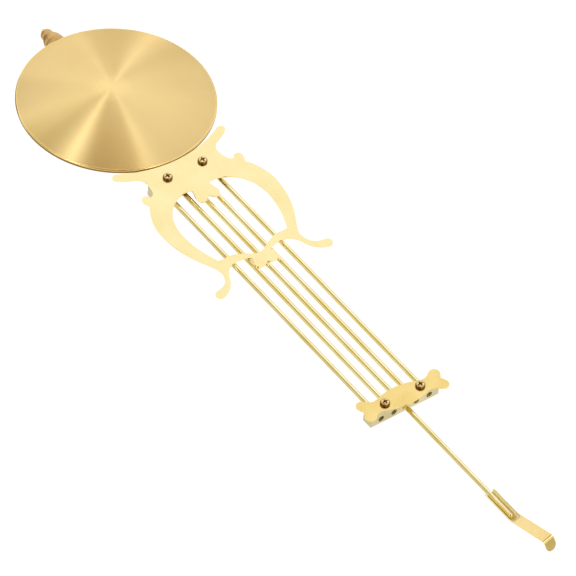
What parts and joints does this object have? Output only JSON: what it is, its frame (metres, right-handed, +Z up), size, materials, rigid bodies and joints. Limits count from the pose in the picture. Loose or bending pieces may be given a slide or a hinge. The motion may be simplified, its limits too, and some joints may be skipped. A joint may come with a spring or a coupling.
{
  "type": "lyre clock pendulum",
  "caption": "Hanging clock pendulum with a domed round bob on a rating nut, rods between brackets, a lyre-shaped plate and a bent sheet hook at the top.",
  "frame": {"origin": "middle of the seat under the hook's end tab, where the pendulum hangs", "axes": "+Z up along the rods, -Y towards the viewer of the lyre and the bob's dome, +X to that viewer's right"},
  "size_m": [0.11, 0.0201, 0.4521],
  "materials": {
    "bob_brass": "fine concentric brushing",
    "plate_brass": "polished",
    "crest_brass": "polished",
    "rod_brass": "polished",
    "bracket_brass": "dull, as formed",
    "hook_brass": "satin sheet",
    "nut_brass": "polished, turned",
    "rivet_brass": "satin",
    "screw_steel": "bronzed, polished crown",
    "plain_steel": "plain sheet",
    "iron": "as cast"
  },
  "bodies": {
    "hanger": {"centre_rod": "rod_brass", "outer_left_rod": "rod_brass", "inner_left_rod": "rod_brass", "inner_right_rod": "rod_brass", "outer_right_rod": "rod_brass", "lower_bracket": "bracket_brass", "upper_bracket": "bracket_brass", "lyre_plate": "plate_brass", "crest_plate": "crest_brass", "lyre_screw_left": "screw_steel", "lyre_screw_right": "screw_steel", "crest_screw_left": "screw_steel", "crest_screw_right": "screw_steel", "hook": "hook_brass"},
    "bob": {"bob_front": "bob_brass", "bob_back": "plain_steel", "bob_weight": "iron", "weight_rivet": "rivet_brass", "upper_left_rivet": "rivet_brass", "upper_right_rivet": "rivet_brass", "lower_left_rivet": "rivet_brass", "lower_right_rivet": "rivet_brass", "upper_lug": "plain_steel", "lower_lug": "plain_steel"},
    "nut": {"rating_nut": "nut_brass"}
  },
  "joints": [
    {"name": "bob_slide", "type": "slide", "parent": "hanger", "child": "bob", "axis": [0, 0, 1], "range_m": [-0.006, 0.0004]},
    {"name": "nut_turn", "type": "hinge", "parent": "bob", "child": "nut", "pos_m": [0.00193, 0.00508, -0.44208], "axis": [0, 0, 1], "range_deg": [-4320, 288]}
  ],
  "couplings": [
    {"joint": "nut_turn", "follows": "bob_slide", "rad_per_m": 12566}
  ]
}
